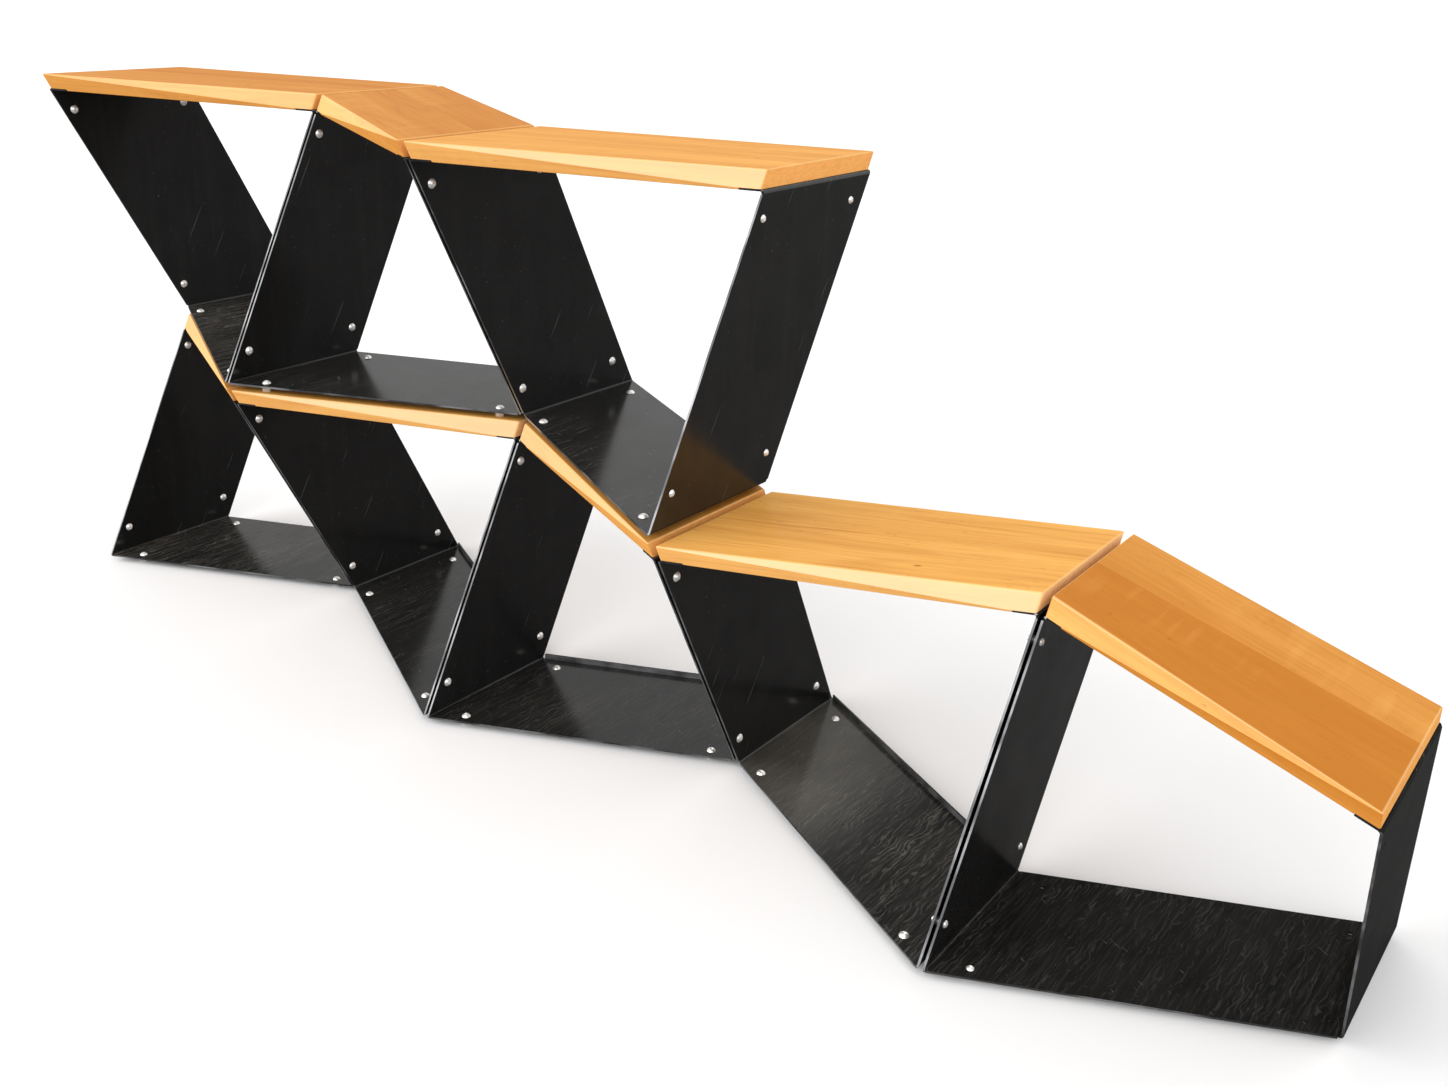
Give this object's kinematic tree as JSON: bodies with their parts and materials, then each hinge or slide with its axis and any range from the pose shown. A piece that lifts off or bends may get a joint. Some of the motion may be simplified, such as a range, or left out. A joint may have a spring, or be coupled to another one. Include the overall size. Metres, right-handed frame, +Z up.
{
  "type": "zigzag bookshelf",
  "caption": "Stepped bookshelf of bolted open modules: folded black steel trays under honey-coloured wood slabs, their fronts running forward and back in a zigzag.",
  "frame": {"origin": "on the floor, under the middle of the whole shelf", "axes": "+X along the row to the right as seen from the front, -Y towards the front, +Z up"},
  "size_m": [2.2534, 0.4832, 0.9],
  "materials": {
    "black_steel": "satin",
    "honey_wood": "satin",
    "zinc_hardware": "satin"
  },
  "bodies": {
    "root": {"tray_a": "black_steel", "slab_a": "honey_wood", "tray_b": "black_steel", "slab_b": "honey_wood", "tray_c": "black_steel", "slab_c": "honey_wood", "tray_d": "black_steel", "slab_d": "honey_wood", "tray_e": "black_steel", "slab_e": "honey_wood", "tray_f": "black_steel", "slab_f": "honey_wood", "tray_g": "black_steel", "slab_g": "honey_wood", "tray_h": "black_steel", "slab_h": "honey_wood", "floor_bolts_a": "zinc_hardware", "feet_a": "zinc_hardware", "floor_bolts_b": "zinc_hardware", "feet_b": "zinc_hardware", "floor_bolts_c": "zinc_hardware", "feet_c": "zinc_hardware", "floor_bolts_d": "zinc_hardware", "feet_d": "zinc_hardware", "floor_bolts_e": "zinc_hardware", "feet_e": "zinc_hardware", "floor_bolts_f": "zinc_hardware", "feet_f": "zinc_hardware", "floor_bolts_g": "zinc_hardware", "feet_g": "zinc_hardware", "floor_bolts_h": "zinc_hardware", "feet_h": "zinc_hardware", "joint_bolts_ab": "zinc_hardware", "joint_nuts_ab": "zinc_hardware", "joint_bolts_bc": "zinc_hardware", "joint_nuts_bc": "zinc_hardware", "joint_bolts_cd": "zinc_hardware", "joint_nuts_cd": "zinc_hardware", "joint_bolts_de": "zinc_hardware", "joint_nuts_de": "zinc_hardware", "joint_spacers_lower": "zinc_hardware", "slab_screws_lower": "zinc_hardware", "joint_bolts_fg": "zinc_hardware", "joint_nuts_fg": "zinc_hardware", "joint_bolts_gh": "zinc_hardware", "joint_nuts_gh": "zinc_hardware", "joint_spacers_upper": "zinc_hardware", "slab_screws_upper": "zinc_hardware", "end_bolts_a": "zinc_hardware", "end_nuts_a": "zinc_hardware", "end_bolts_f": "zinc_hardware", "end_nuts_f": "zinc_hardware", "end_bolts_h": "zinc_hardware", "end_nuts_h": "zinc_hardware"}
  },
  "joints": []
}
